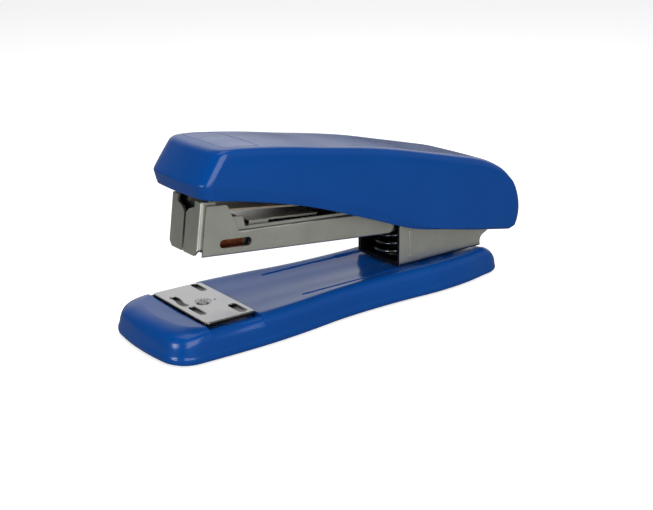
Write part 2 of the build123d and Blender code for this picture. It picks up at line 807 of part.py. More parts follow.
def cover_form(inset, mouth):
    """Solid in the shape of the cover, drawn inset all round, with its lower edge lowered by mouth."""
    half = COVER_HALF - inset
    right = [(-share * half, inset + draw) for share, draw in cover_rounding]
    left = [(-y, draw) for y, draw in reversed(right)]
    with BuildPart() as form:
        for y, draw in right + left:
            with BuildSketch(side.offset(-y)):
                with BuildLine():
                    lip = Spline(
                        (nose_bottom[0] + draw, nose_bottom[1] - mouth),
                        (-25.3, 36.0 - mouth),
                        (-4.9, 29.8 - mouth),
                        (12.4, 23.5 - mouth),
                        (lip_rear[0], lip_rear[1] - mouth),
                    )
                    flat = Line(lip @ 1, (tail_bottom[0] - draw, tail_bottom[1] - mouth + draw * 0.19))
                    tail = Spline(
                        flat @ 1,
                        (tail_back[0] - draw, tail_back[1]),
                        (tail_top[0] - draw * 0.5, tail_top[1] - draw * 0.9),
                    )
                    back = Spline(
                        tail @ 1,
                        (40.4, 38.5 - draw),
                        (7.6, 46.2 - draw),
                        (-22, 51.1 - draw),
                        (cover_front[0] + draw * 0.5, cover_front[1] - draw),
                    )
                    Polyline(
                        back @ 1,
                        (-44.0 + draw * 0.7, 50.6 - draw * 0.7),
                        (nose_ridge[0] + draw, nose_ridge[1]),
                        lip @ 0,
                    )
                make_face()
        loft(ruled=True)
    return form


cover_outer = cover_form(0, 0)
cover_inner = cover_form(COVER_WALL, 3.0)

panel_rear = -28.7
panel_half = 10.0
panel_seat = 51.1
panel_gap = 0.1
with BuildPart() as panel_block:
    with BuildSketch(desk.offset(panel_seat)):
        with Locations(((cover_front[0] + panel_rear) / 2, 0)):
            Rectangle(panel_rear - cover_front[0], 2 * panel_half)
    extrude(amount=5)
    fillet(panel_block.edges().filter_by(Axis.Z), radius=0.6)

with BuildPart() as cover_panel:
    add(panel_block.part)
    add(cover_outer.part, mode=Mode.INTERSECT)
finish(cover_panel, "cover_panel")

with BuildPart() as cover_shell:
    add(cover_outer.part)
    add(cover_inner.part, mode=Mode.SUBTRACT)
    with BuildSketch(desk.offset(panel_seat)):
        with Locations(((cover_front[0] + panel_rear) / 2, 0)):
            Rectangle(panel_rear - cover_front[0] + 2 * panel_gap, 2 * (panel_half + panel_gap))
    extrude(amount=5, mode=Mode.SUBTRACT)
finish(cover_shell, "cover_shell")
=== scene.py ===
import json
from math import cos, pi, radians, sin

import bmesh
import bpy
import numpy as np
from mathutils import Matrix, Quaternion, Vector


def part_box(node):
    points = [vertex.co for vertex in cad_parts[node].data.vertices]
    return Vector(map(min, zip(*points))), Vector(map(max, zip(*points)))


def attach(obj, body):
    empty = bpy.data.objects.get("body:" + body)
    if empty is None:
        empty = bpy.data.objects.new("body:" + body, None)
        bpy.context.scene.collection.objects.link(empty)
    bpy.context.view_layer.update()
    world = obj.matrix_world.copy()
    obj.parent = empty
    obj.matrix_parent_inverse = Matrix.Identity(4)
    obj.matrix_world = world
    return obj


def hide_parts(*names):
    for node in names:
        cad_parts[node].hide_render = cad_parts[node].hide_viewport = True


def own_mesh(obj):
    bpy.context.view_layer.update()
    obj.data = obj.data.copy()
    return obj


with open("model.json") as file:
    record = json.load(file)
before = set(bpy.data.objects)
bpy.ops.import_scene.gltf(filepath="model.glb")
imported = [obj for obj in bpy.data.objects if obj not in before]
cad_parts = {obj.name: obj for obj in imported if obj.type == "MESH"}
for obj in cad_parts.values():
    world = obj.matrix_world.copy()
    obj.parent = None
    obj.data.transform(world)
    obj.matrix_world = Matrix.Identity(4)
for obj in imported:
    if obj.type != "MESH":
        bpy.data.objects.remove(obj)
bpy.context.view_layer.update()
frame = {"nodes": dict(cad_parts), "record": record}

MM = 0.001
nodes = frame["nodes"]
slots = {s["node"]: s["material_slot"] for s in frame["record"]["subparts"]}
body_of_node = {n: b for b, ns in frame["record"]["behaviour"]["bodies"].items() for n in ns}


def low_mm(node):
    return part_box(node)[0] / MM


def high_mm(node):
    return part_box(node)[1] / MM


# ---------------------------------------------------------------- mesh helpers
def mesh_object(name, points_mm, faces, smooth=True):
    """Object with a mesh made from points in millimetres."""
    mesh = bpy.data.meshes.new(name)
    mesh.from_pydata([Vector(p) * MM for p in points_mm], [], faces)
    mesh.validate()
    obj = bpy.data.objects.new(name, mesh)
    bpy.context.scene.collection.objects.link(obj)
    for polygon in mesh.polygons:
        polygon.use_smooth = smooth
    return obj


def modifier(obj, name, kind, **settings):
    made = obj.modifiers.new(name, kind)
    for key, value in settings.items():
        setattr(made, key, value)
    return made


def apply_modifiers(obj):
    """Replaces the mesh with its modified self."""
    graph = bpy.context.evaluated_depsgraph_get()
    graph.update()
    mesh = bpy.data.meshes.new_from_object(obj.evaluated_get(graph))
    obj.modifiers.clear()
    obj.data = mesh
    return obj


def cut(obj, cutter):
    """Takes the cutter away from the object, and removes the cutter."""
    modifier(obj, "cut", "BOOLEAN", operation="DIFFERENCE", object=cutter, solver="EXACT")
    apply_modifiers(obj)
    bpy.data.objects.remove(cutter)
    return obj


def shade_by_angle(obj, degrees):
    """Smooth shading with sharp edges where the surface turns by more than an angle."""
    mesh = bmesh.new()
    mesh.from_mesh(obj.data)
    for face in mesh.faces:
        face.smooth = True
    for edge in mesh.edges:
        if len(edge.link_faces) == 2:
            edge.smooth = edge.calc_face_angle(0) < radians(degrees)
    mesh.to_mesh(obj.data)
    mesh.free()
    return obj


def even_normals(obj):
    """Lets large flat faces rule the shading, so that flat sheet stays flat."""
    modifier(obj, "normals", "WEIGHTED_NORMAL", keep_sharp=True, weight=100)
    return apply_modifiers(obj)


def rounded_copy(node, bevel):
    """A CAD node's shape with its sharp edges rounded, to stand for the node."""
    copy = bpy.data.objects.new(node + "_sheet", nodes[node].data.copy())
    bpy.context.scene.collection.objects.link(copy)
    copy.data.materials.clear()
    mesh = bmesh.new()
    mesh.from_mesh(copy.data)
    bmesh.ops.remove_doubles(mesh, verts=mesh.verts, dist=0.002 * MM)
    bmesh.ops.dissolve_limit(
        mesh, angle_limit=radians(0.6), verts=mesh.verts, edges=mesh.edges, delimit={"NORMAL"}
    )
    mesh.to_mesh(copy.data)
    mesh.free()
    modifier(
        copy,
        "rounding",
        "BEVEL",
        width=bevel * MM,
        segments=2,
        limit_method="ANGLE",
        angle_limit=radians(35),
        use_clamp_overlap=True,
        harden_normals=False,
    )
    apply_modifiers(copy)
    shade_by_angle(copy, 32)
    return even_normals(copy)


def spline(points):
    """Smooth curve through (x, value) points, straight on past both ends."""
    xs = np.array([p[0] for p in points], float)
    ys = np.array([p[1] for p in points], float)
    step = np.diff(xs)
    slope = np.diff(ys) / step
    tangent = np.empty_like(ys)
    tangent[1:-1] = (slope[:-1] * step[1:] + slope[1:] * step[:-1]) / (step[1:] + step[:-1])
    tangent[0], tangent[-1] = slope[0], slope[-1]

    def value(x):
        if x <= xs[0]:
            return ys[0] + tangent[0] * (x - xs[0])
        if x >= xs[-1]:
            return ys[-1] + tangent[-1] * (x - xs[-1])
        i = int(np.searchsorted(xs, x) - 1)
        t = (x - xs[i]) / step[i]
        return (
            (1 + 2 * t) * (1 - t) ** 2 * ys[i]
            + t * (1 - t) ** 2 * step[i] * tangent[i]
            + t * t * (3 - 2 * t) * ys[i + 1]
            + t * t * (t - 1) * step[i] * tangent[i + 1]
        )

    return value


def eased(x, start, end):
    """Smooth step from 0 at start to 1 at end."""
    t = min(max((x - start) / (end - start), 0.0), 1.0)
    return t * t * (3 - 2 * t)


def resample(path, count, crowd=0.0):
    """Points along a 2D path, evenly spaced, or crowded towards both ends."""
    path = np.array(path, float)
    length = np.concatenate([[0], np.cumsum(np.linalg.norm(np.diff(path, axis=0), axis=1))])
    share = np.linspace(0, 1, count + 1)
    share = share - crowd * np.sin(2 * pi * share) / (2 * pi)
    return np.stack([np.interp(share * length[-1], length, path[:, k]) for k in (0, 1)], axis=1)


def rounded_ring(front, rear, half_at, front_radius, rear_radius, bow, ends, sides):
    """Closed plan outline: nose across, near side, tail across, far side. half_at gives its half width."""
    dense = 24
    nose_y = half_at(front + front_radius) - front_radius
    tail_y = half_at(rear - rear_radius) - rear_radius

    def end(x, y_edge, bulge):
        ys = np.linspace(0, y_edge, dense)
        return [(x + bulge * (y / max(y_edge, 1e-6)) ** 2, y) for y in ys]

    nose = end(front, nose_y, bow)
    front_corner = [
        (
            front + bow + (front_radius - bow) * (1 - cos(a)),
            nose_y + front_radius * sin(a),
        )
        for a in np.linspace(0, pi / 2, dense)
    ]
    run = [(x, half_at(x)) for x in np.linspace(front + front_radius, rear - rear_radius, 5 * dense)]
    rear_corner = [
        (rear - bow - (rear_radius - bow) * (1 - sin(a)), tail_y + rear_radius * cos(a))
        for a in np.linspace(0, pi / 2, dense)
    ]
    tail = end(rear, tail_y, -bow)[::-1]
    middle = dense // 2
    first = resample(nose + front_corner[: middle + 1], ends)
    flank = resample(front_corner[middle:] + run + rear_corner[: middle + 1], sides, crowd=0.75)
    last = resample(rear_corner[middle:] + tail, ends)
    half = np.concatenate([first, flank[1:], last[1:]])
    near = half * np.array([1, -1])
    far = half[::-1][1:-1]
    return np.concatenate([near, far])


def ring_shell(name, rings, ends, sides, crown):
    """Skin through closed rings of equal count, closed over the last ring by a grid raised by the crown."""
    count = len(rings[0])
    points = [tuple(p) for ring in rings for p in ring]
    faces = []
    for k in range(len(rings) - 1):
        for i in range(count):
            j = (i + 1) % count
            faces.append((k * count + i, k * count + j, (k + 1) * count + j, (k + 1) * count + i))
    last = (len(rings) - 1) * count
    # last ring's corners: near front, near rear, far rear, far front
    across = 2 * ends

    def ring_index(row, column):
        """Ring point at the grid's edge: row runs from nose to tail, column from near to far."""
        if row == 0:
            return last + (ends - column) % count
        if row == sides:
            return last + ends + sides + column
        if column == 0:
            return last + ends + row
        if column == across:
            return last + (count - ends - row) % count
        return None

    grid = {}
    for row in range(sides + 1):
        for column in range(across + 1):
            known = ring_index(row, column)
            if known is not None:
                grid[row, column] = known
    edge = {key: np.array(points[index]) for key, index in grid.items()}
    for row in range(1, sides):
        for column in range(1, across):
            u, v = column / across, row / sides
            place = (
                (1 - u) * edge[row, 0]
                + u * edge[row, across]
                + (1 - v) * edge[0, column]
                + v * edge[sides, column]
                - (1 - u) * (1 - v) * edge[0, 0]
                - u * (1 - v) * edge[0, across]
                - (1 - u) * v * edge[sides, 0]
                - u * v * edge[sides, across]
            )
            lift = crown * (1 - (2 * u - 1) ** 2) * min(1.0, 6 * v, 6 * (1 - v))
            grid[row, column] = len(points)
            points.append((place[0], place[1], place[2] + lift))
    for row in range(sides):
        for column in range(across):
            faces.append(
                (grid[row, column], grid[row + 1, column], grid[row + 1, column + 1], grid[row, column + 1])
            )
    return mesh_object(name, points, faces)


def turn_outwards(obj):
    mesh = bmesh.new()
    mesh.from_mesh(obj.data)
    bmesh.ops.recalc_face_normals(mesh, faces=mesh.faces)
    mesh.to_mesh(obj.data)
    mesh.free()


def block(name, low, high, rounding=0.0):
    """Box between two corners in millimetres, used as a cutter."""
    x0, y0, z0 = low
    x1, y1, z1 = high
    points = [(x, y, z) for z in (z0, z1) for y in (y0, y1) for x in (x0, x1)]
    faces = [(0, 2, 3, 1), (4, 5, 7, 6), (0, 1, 5, 4), (2, 6, 7, 3), (0, 4, 6, 2), (1, 3, 7, 5)]
    obj = mesh_object(name, points, faces, smooth=False)
    if rounding:
        modifier(obj, "rounding", "BEVEL", width=rounding * MM, segments=3)
        apply_modifiers(obj)
    return obj


def prism(name, outline, bottom, top):
    """Upright solid on a closed plan outline, in millimetres."""
    count = len(outline)
    points = [(x, y, bottom) for x, y in outline] + [(x, y, top) for x, y in outline]
    faces = [tuple(range(count)), tuple(range(2 * count - 1, count - 1, -1))]
    for i in range(count):
        j = (i + 1) % count
        faces.append((i, i + count, j + count, j))
    obj = mesh_object(name, points, faces, smooth=False)
    turn_outwards(obj)
    return obj


def trough(name, floor_half, front, rear, top):
    """Solid across the object with a curved floor, symmetric about its middle, used as a cutter."""
    section = [(-y, z) for y, z in reversed(floor_half[1:])] + floor_half
    section += [(section[-1][0], top), (section[0][0], top)]
    count = len(section)
    points = [(front, y, z) for y, z in section] + [(rear, y, z) for y, z in section]
    faces = [tuple(range(count)), tuple(range(2 * count - 1, count - 1, -1))]
    for i in range(count):
        j = (i + 1) % count
        faces.append((i, i + count, j + count, j))
    obj = mesh_object(name, points, faces, smooth=False)
    turn_outwards(obj)
    return obj


def circle_outline(centre, radius, steps=40):
    return [
        (centre[0] + radius * cos(2 * pi * k / steps), centre[1] + radius * sin(2 * pi * k / steps))
        for k in range(steps)
    ]


def capsule_outline(centre, length, width, steps=10):
    """Closed outline of a slot with round ends."""
    straight = (length - width) / 2
    turn = [(a, 1) for a in np.linspace(-pi / 2, pi / 2, steps)] + [
        (a, -1) for a in np.linspace(pi / 2, 3 * pi / 2, steps)
    ]
    outline = []
    for angle, way in turn:
        x = way * straight + width / 2 * cos(angle)
        y = width / 2 * sin(angle)
        outline.append((centre[0] + x, centre[1] + y))
    return outline


def tube(name, path, radius, sides=14):
    """Round wire along a path of points, with rounded-off closed ends."""
    path = np.array(path, float)
    points, faces = [], []
    tangents = np.gradient(path, axis=0)
    tangents /= np.linalg.norm(tangents, axis=1)[:, None]
    normal = np.cross(tangents[0], (0.0, 0.0, 1.0))
    if np.linalg.norm(normal) < 0.1:
        normal = np.cross(tangents[0], (0.0, 1.0, 0.0))
    for i, (centre, tangent) in enumerate(zip(path, tangents)):
        normal = normal - tangent * normal.dot(tangent)
        normal /= np.linalg.norm(normal)
        other = np.cross(tangent, normal)
        for k in range(sides):
            a = 2 * pi * k / sides
            points.append(tuple(centre + radius * (cos(a) * normal + sin(a) * other)))
        if i:
            for k in range(sides):
                j = (k + 1) % sides
                faces.append(
                    ((i - 1) * sides + k, (i - 1) * sides + j, i * sides + j, i * sides + k)
                )
    for end, way in ((0, -1), (len(path) - 1, 1)):
        points.append(tuple(path[end] + tangents[end] * way * radius * 0.4))
        tip = len(points) - 1
        for k in range(sides):
            j = (k + 1) % sides
            triangle = (end * sides + j, end * sides + k, tip)
            faces.append(triangle if way < 0 else triangle[::-1])
    obj = mesh_object(name, points, faces)
    turn_outwards(obj)
    return obj


# ---------------------------------------------------------------- materials
def blank(name, colour, metallic, roughness):
    """Material with a Principled shader, and its node tree's helpers."""
    material = bpy.data.materials.new(name)
    material.use_nodes = True
    tree = material.node_tree
    shader = tree.nodes["Principled BSDF"]
    shader.inputs["Base Color"].default_value = (*colour, 1)
    shader.inputs["Metallic"].default_value = metallic
    shader.inputs["Roughness"].default_value = roughness
    place = tree.nodes.new("ShaderNodeTexCoord")
    return material, tree, shader, place.outputs["Object"]


def stretched(tree, coordinates, scale):
    mapping = tree.nodes.new("ShaderNodeMapping")
    mapping.inputs["Scale"].default_value = scale
    tree.links.new(coordinates, mapping.inputs["Vector"])
    return mapping.outputs["Vector"]


def noise(tree, vector, scale, detail=3.0, roughness=0.5):
    node = tree.nodes.new("ShaderNodeTexNoise")
    node.inputs["Scale"].default_value = scale
    node.inputs["Detail"].default_value = detail
    node.inputs["Roughness"].default_value = roughness
    tree.links.new(vector, node.inputs["Vector"])
    return node.outputs["Fac"]


def ranged(tree, value, low, high, start=0.3, end=0.7):
    node = tree.nodes.new("ShaderNodeMapRange")
    for key, number in (("From Min", start), ("From Max", end), ("To Min", low), ("To Max", high)):
        node.inputs[key].default_value = number
    tree.links.new(value, node.inputs["Value"])
    return node.outputs["Result"]


def tinted(tree, value, dark, light):
    node = tree.nodes.new("ShaderNodeMix")
    node.data_type = "RGBA"
    tree.links.new(value, node.inputs["Factor"])
    node.inputs[6].default_value = (*dark, 1)
    node.inputs[7].default_value = (*light, 1)
    return node.outputs[2]


def bumped(tree, shader, height, strength, distance):
    node = tree.nodes.new("ShaderNodeBump")
    node.inputs["Strength"].default_value = strength
    node.inputs["Distance"].default_value = distance
    tree.links.new(height, node.inputs["Height"])
    tree.links.new(node.outputs["Normal"], shader.inputs["Normal"])


def moulded_plastic(name, dark, light, roughness):
    """Glossy moulded plastic: slight mottling, a very fine skin, faint handling marks."""
    material, tree, shader, place = blank(name, dark, 0.0, roughness)
    mottle = noise(tree, place, 60, 2)
    tree.links.new(tinted(tree, ranged(tree, mottle, 0, 1), dark, light), shader.inputs["Base Color"])
    smears = noise(tree, stretched(tree, place, (0.35, 1.0, 1.0)), 220, 5, 0.65)
    tree.links.new(
        ranged(tree, smears, roughness - 0.04, roughness + 0.07), shader.inputs["Roughness"]
    )
    skin = noise(tree, place, 2600, 2)
    bumped(tree, shader, skin, 0.05, 0.00002)
    shader.inputs["Specular IOR Level"].default_value = 0.27
    return material


def paint_crevice_shade(tree, colour, reach_mm, shade):
    """Painted shade: colour that falls to a dark tone where surfaces close in on each other, found by
    ambient occlusion.
    """
    hollow = tree.nodes.new("ShaderNodeAmbientOcclusion")
    hollow.samples = 6
    hollow.inputs["Distance"].default_value = reach_mm * MM
    mix = tree.nodes.new("ShaderNodeMix")
    mix.data_type = "RGBA"
    tree.links.new(ranged(tree, hollow.outputs["AO"], 0, 1, 0.25, 0.85), mix.inputs["Factor"])
    mix.inputs[6].default_value = (*shade, 1)
    tree.links.new(colour, mix.inputs[7])
    return mix.outputs[2]


def rolled_sheet(name, dark, light, roughness, crevice_shade=True):
    """Plated rolled sheet: long grain, cloudy plating, a few rub marks, and painted shade darkening its
    crevices unless turned off.
    """
    material, tree, shader, place = blank(name, light, 1.0, roughness)
    clouds = noise(tree, place, 90, 4, 0.6)
    colour = tinted(tree, ranged(tree, clouds, 0, 1), dark, light)
    if crevice_shade:
        # painted shade: the colour falls to near-black where surfaces close in, in gaps and crevices
        # between parts
        colour = paint_crevice_shade(tree, colour, 3.0, (0.025, 0.024, 0.022))
    tree.links.new(colour, shader.inputs["Base Color"])
    lines = noise(tree, stretched(tree, place, (1.0, 14.0, 14.0)), 260, 4, 0.6)
    tree.links.new(
        ranged(tree, lines, roughness - 0.07, roughness + 0.1), shader.inputs["Roughness"]
    )
    bumped(tree, shader, lines, 0.25, 0.00001)
    return material


def turned_plate(name, centre, top, dark, light, roughness):
    """Bright plate with faint rings left by machining, darkened to near-black in the pressed grooves."""
    material, tree, shader, place = blank(name, light, 1.0, roughness)
    moved = tree.nodes.new("ShaderNodeMapping")
    moved.inputs["Location"].default_value = (-centre[0], -centre[1], 0)
    tree.links.new(place, moved.inputs["Vector"])
    rings = tree.nodes.new("ShaderNodeTexWave")
    rings.wave_type = "RINGS"
    rings.rings_direction = "Z"
    rings.inputs["Scale"].default_value = 420
    rings.inputs["Distortion"].default_value = 0.6
    rings.inputs["Detail"].default_value = 2
    tree.links.new(moved.outputs["Vector"], rings.inputs["Vector"])
    clouds = noise(tree, place, 160, 5, 0.65)
    plating = tinted(tree, ranged(tree, clouds, 0, 1), dark, light)
    parts = tree.nodes.new("ShaderNodeSeparateXYZ")
    tree.links.new(place, parts.inputs["Vector"])
    # the colour darkens to near-black below the plate's face, in the pressed grooves
    level = ranged(tree, parts.outputs["Z"], 0, 1, top - 0.00028, top - 0.00006)
    groove_darkening = tree.nodes.new("ShaderNodeMix")
    groove_darkening.data_type = "RGBA"
    tree.links.new(level, groove_darkening.inputs["Factor"])
    groove_darkening.inputs[6].default_value = (0.022, 0.021, 0.019, 1)
    tree.links.new(plating, groove_darkening.inputs[7])
    tree.links.new(groove_darkening.outputs[2], shader.inputs["Base Color"])
    tree.links.new(
        ranged(tree, clouds, roughness - 0.05, roughness + 0.16), shader.inputs["Roughness"]
    )
    bumped(tree, shader, rings.outputs["Fac"], 0.25, 0.000012)
    return material


def rubber(name, dark, light):
    material, tree, shader, place = blank(name, dark, 0.0, 0.75)
    grit = noise(tree, place, 1500, 3)
    tree.links.new(tinted(tree, ranged(tree, grit, 0, 1), dark, light), shader.inputs["Base Color"])
    bumped(tree, shader, grit, 0.4, 0.00005)
    return material


anvil_centre = (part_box("anvil_plate")[0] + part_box("anvil_plate")[1]) / 2
blue = moulded_plastic("blue_plastic", (0.001, 0.058, 0.275), (0.0014, 0.063, 0.295), 0.2)
black = moulded_plastic("black_plastic", (0.012, 0.012, 0.014), (0.02, 0.02, 0.022), 0.42)
pad_rubber = rubber("black_rubber", (0.012, 0.012, 0.012), (0.03, 0.03, 0.03))
nickel = rolled_sheet("satin_nickel", (0.60, 0.61, 0.55), (0.71, 0.72, 0.65), 0.36)
zinc = rolled_sheet("zinc_sheet", (0.40, 0.41, 0.42), (0.55, 0.56, 0.58), 0.45)
wire = rolled_sheet("spring_wire", (0.15, 0.15, 0.15), (0.25, 0.25, 0.24), 0.24)
bronze = rolled_sheet("bronze_strip", (0.62, 0.52, 0.40), (0.78, 0.68, 0.54), 0.5, crevice_shade=False)
copper = rolled_sheet("copper_wire", (0.48, 0.14, 0.07), (0.72, 0.25, 0.13), 0.36, crevice_shade=False)
plate_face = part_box("anvil_plate")[1].z - 0.0004
bright = turned_plate(
    "bright_nickel", anvil_centre, plate_face, (0.38, 0.38, 0.39), (0.54, 0.54, 0.55), 0.22
)
# painted shade: near-black dull steel for the bracket's floor and inner faces, where shade falls
painted_shade_inside = rolled_sheet("painted_shade_inside", (0.035, 0.035, 0.036), (0.06, 0.06, 0.062), 0.4)
peened = rolled_sheet("peened_pin", (0.66, 0.66, 0.64), (0.8, 0.8, 0.78), 0.42, crevice_shade=False)
by_slot = {
    "blue_plastic": blue,
    "black_plastic": black,
    "black_rubber": pad_rubber,
    "satin_nickel": nickel,
    "bright_nickel": bright,
    "galvanised_steel": zinc,
    "spring_steel": wire,
    "bronze_leaf": bronze,
    "copper_staple": copper,
}


def dress(obj, slot):
    obj.data.materials.clear()
    obj.data.materials.append(by_slot[slot])
    return obj


def stand_for(obj, node):
    """The piece takes the node's place, body and finish."""
    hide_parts(node)
    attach(obj, body_of_node[node])
    dress(obj, slots[node])
    return obj


# ---------------------------------------------------------------- base
shell_low, shell_high = low_mm("base_shell"), high_mm("base_shell")
base_top = shell_high.z
base_bottom = shell_low.z
base_front = shell_low.x
base_rear = -base_front
plate_low, plate_high = low_mm("anvil_plate"), high_mm("anvil_plate")

# half width of the base along its length, and how far its top falls behind the bracket
waist = spline(
    [
        (-60, 18), (-27, 18), (-18, 17.2), (-8, 15.9), (3, 15.3),
        (16, 15.35), (29, 16.0), (41, 15.2), (52, 13.0),
    ]
)
tail_drop = spline([(46, 0), (50.5, 0.0), (53, 1.0), (57, 3.8), (60.4, 6.3)])
TAIL_START = 50.5
POCKET_REAR = 52.0
BASE_WALL = 2.2
TOP_SKIN = 1.8
RECESS_DEPTH = 2.0
RECESS_SKIN = 1.4
GROOVE_Y = 9.87
GROOVE_DEPTH, GROOVE_STEP_DEPTH = 0.7, 0.72
PLATE_CLEARANCE = 0.06
BASE_ENDS, BASE_SIDES = 8, 46


def base_ring(inset, nose_inset=None):
    """Plan outline of the base, drawn inset, by its own amount at the nose."""
    front = inset if nose_inset is None else nose_inset
    return rounded_ring(
        base_front + front,
        base_rear - inset,
        lambda x: waist(x) - inset - 0.45 * (front - inset) * eased(x, -44, -56),
        7.4 + 0.35 * front,
        max(10.8 - inset, 6.0),
        0.7,
        BASE_ENDS,
        BASE_SIDES,
    )


def base_height(x, height):
    """A level on the base's flank, lowered with the slope behind the bracket."""
    drop = tail_drop(x) if x > TAIL_START else 0.0
    share = (height - base_bottom) / (base_top - base_bottom)
    return height - drop * share


def build_base():
    # inset of the flanks and of the nose, and height: lip round the foot, upright flank, soft top edge
    levels = [
        (0.7, 0.8, base_bottom),
        (0.15, 0.15, base_bottom + 0.25),
        (0.0, 0.0, base_bottom + 0.9),
        (0.0, 0.0, base_bottom + 1.9),
        (0.2, 0.25, base_bottom + 2.15),
        (0.28, 0.5, base_bottom + 4.0),
        (0.5, 1.0, base_top - 2.3),
        (1.0, 1.85, base_top - 1.1),
        (1.9, 3.2, base_top - 0.3),
        (3.2, 5.3, base_top),
    ]
    rings = []
    for inset, nose_inset, height in levels:
        outline = base_ring(inset, nose_inset)
        rings.append([(x, y, base_height(x, height)) for x, y in outline])
    shell = ring_shell("base_shell_moulding", rings, BASE_ENDS, BASE_SIDES, 0.0)
    modifier(shell, "smooth", "SUBSURF", levels=2, render_levels=2)
    apply_modifiers(shell)
    close_foot(shell)
    turn_outwards(shell)
    ceiling = plate_low.z - PLATE_CLEARANCE - RECESS_DEPTH - RECESS_SKIN
    pocket = [(min(x, POCKET_REAR), y) for x, y in base_ring(BASE_WALL)]
    cut(shell, prism("pocket", pocket, base_bottom - 2, ceiling))
    cut(shell, block("rear_pocket", (-27, -12.5, ceiling - 1), (49, 12.5, base_top - TOP_SKIN)))
    recess_x = ((plate_low + plate_high) / 2).x
    reach = (plate_high.x - plate_low.x) / 2 + 0.3
    # half width of the recess floor against its depth, running out into the flank
    run_out = [
        (0.0, RECESS_DEPTH), (14.3, RECESS_DEPTH), (14.45, 1.3), (14.75, 0.85), (15.3, 0.72),
        (16.0, 0.82), (16.6, 1.15), (17.1, 1.7), (17.6, 2.6), (19.5, 4.5),
    ]
    floor_half = [(y, base_top - depth) for y, depth in run_out]
    cut(shell, trough("recess", floor_half, recess_x - reach, recess_x + reach, base_top + 3))
    cut(shell, prism("pin_hole", circle_outline((recess_x, 0), 1.6), base_bottom - 2, base_top + 2))
    for y in (-GROOVE_Y, GROOVE_Y):
        groove = capsule_outline((2.0, y), 36, 1.0)
        groove_step = capsule_outline((14.4, y), 9.6, 1.9)
        cut(shell, prism("groove", groove, base_top - GROOVE_DEPTH, base_top + 2))
        cut(shell, prism("groove_step", groove_step, base_top - GROOVE_STEP_DEPTH, base_top + 2))
    modifier(
        shell,
        "edge",
        "BEVEL",
        width=0.18 * MM,
        segments=2,
        limit_method="ANGLE",
        angle_limit=radians(50),
    )
    apply_modifiers(shell)
    shade_by_angle(shell, 40)
    return stand_for(shell, "base_shell")


def close_foot(obj):
    """Closes the open loop at the foot with one face."""
    mesh = bmesh.new()
    mesh.from_mesh(obj.data)
    bmesh.ops.holes_fill(mesh, edges=[e for e in mesh.edges if e.is_boundary], sides=0)
    mesh.to_mesh(obj.data)
    mesh.free()


build_base()

# ---------------------------------------------------------------- cover
lip = spline(
    [
        (-47.9, 40.3), (-37.3, 38.55), (-25.3, 36.0), (-12.8, 32.55), (-4.9, 29.8),
        (4.1, 26.6), (12.4, 23.5), (20.6, 20.55), (30, 18.7), (45, 15.8), (60.8, 13.0),
    ]
)
crease = spline(
    [
        (-48.6, 43.9), (-37.8, 42.1), (-26, 39.3), (-13.5, 35.9), (-0.2, 31.4),
        (8, 28.3), (15, 24.9), (21, 21.8), (28, 19.8), (45, 16.6), (62.8, 14.0),
    ]
)
shoulder = spline(
    [
        (-44, 51.15), (-36, 50.95), (-30, 50.3), (-24, 49.5), (-18, 48.55), (-8.4, 46.8),
        (1.6, 45.2), (13.4, 43.0), (26.8, 39.8), (37.5, 37.0), (50.5, 33.2), (58.5, 29.6),
    ]
)
# how far the rounded edge rises from the shoulder to the flat of the top
edge_rise = spline(
    [(-46, 0.75), (-24, 1.1), (-8, 1.45), (13, 1.75), (27, 1.95), (38, 2.3), (52, 2.6), (60, 2.2)]
)
COVER_ENDS, COVER_SIDES = 7, 44
NOSE_RADIUS, TAIL_RADIUS = 4.1, 3.2


def cover_ring(front, rear, half, height, nose_radius=NOSE_RADIUS, tail_radius=TAIL_RADIUS):
    width = spline(
        [(-49, half - 0.9), (-36, half - 0.1), (-20, half), (30, half), (48, half), (64, half - 0.3)]
    )
    outline = rounded_ring(front, rear, width, nose_radius, tail_radius, 0.5, COVER_ENDS, COVER_SIDES)
    return [(x, y, height(x)) for x, y in outline]


def wall_level(share, nose_z, tail_z):
    """Height of a ring on the side wall, meeting given heights at the nose and at the tail."""

    def height(x):
        inner = min(max(x, -40), 58)
        value = crease(inner) + share * (shoulder(inner) - crease(inner))
        value += (nose_z - value) * eased(x, -39, -46)
        return value + (tail_z - value) * eased(x, 42, 61)

    return height


def top_level(lift):
    def height(x):
        return shoulder(max(x, -44)) + lift * edge_rise(x) - 0.25 * eased(x, -40, -45)

    return height


def build_cover():
    rings = [
        cover_ring(-47.5, 61.2, 13.45, lip),
        cover_ring(-47.65, 61.6, 13.62, lambda x: lip(x) + 0.25),
        cover_ring(-48.25, 62.9, 14.08, lambda x: crease(x) - 0.12),
        cover_ring(-48.35, 63.3, 14.16, lambda x: crease(x) + 0.05),
        cover_ring(-47.85, 64.5, 14.12, wall_level(0.14, 44.6, 17.0)),
        cover_ring(-46.6, 64.9, 13.98, wall_level(0.42, 46.4, 20.4)),
        cover_ring(-45.0, 64.1, 13.75, wall_level(0.72, 48.7, 24.5)),
        cover_ring(-43.9, 62.5, 13.5, wall_level(0.92, 50.2, 28.0)),
        cover_ring(-43.4, 61.0, 13.28, top_level(0.1)),
        cover_ring(-42.8, 59.6, 12.92, top_level(0.55)),
        cover_ring(-41.9, 57.9, 12.3, top_level(0.87), 3.0, 3.2),
        cover_ring(-39.6, 54.8, 10.8, top_level(1.0), 2.4, 3.0),
    ]
    shell = ring_shell("cover_moulding", rings, COVER_ENDS, COVER_SIDES, 0.3)
    turn_outwards(shell)
    modifier(
        shell,
        "wall",
        "SOLIDIFY",
        thickness=1.6 * MM,
        offset=-1,
        use_even_offset=True,
        edge_crease_rim=0.8,
    )
    modifier(shell, "smooth", "SUBSURF", levels=2, render_levels=2)
    apply_modifiers(shell)
    return shell


cover = build_cover()
panel_low, panel_high = low_mm("cover_panel"), high_mm("cover_panel")


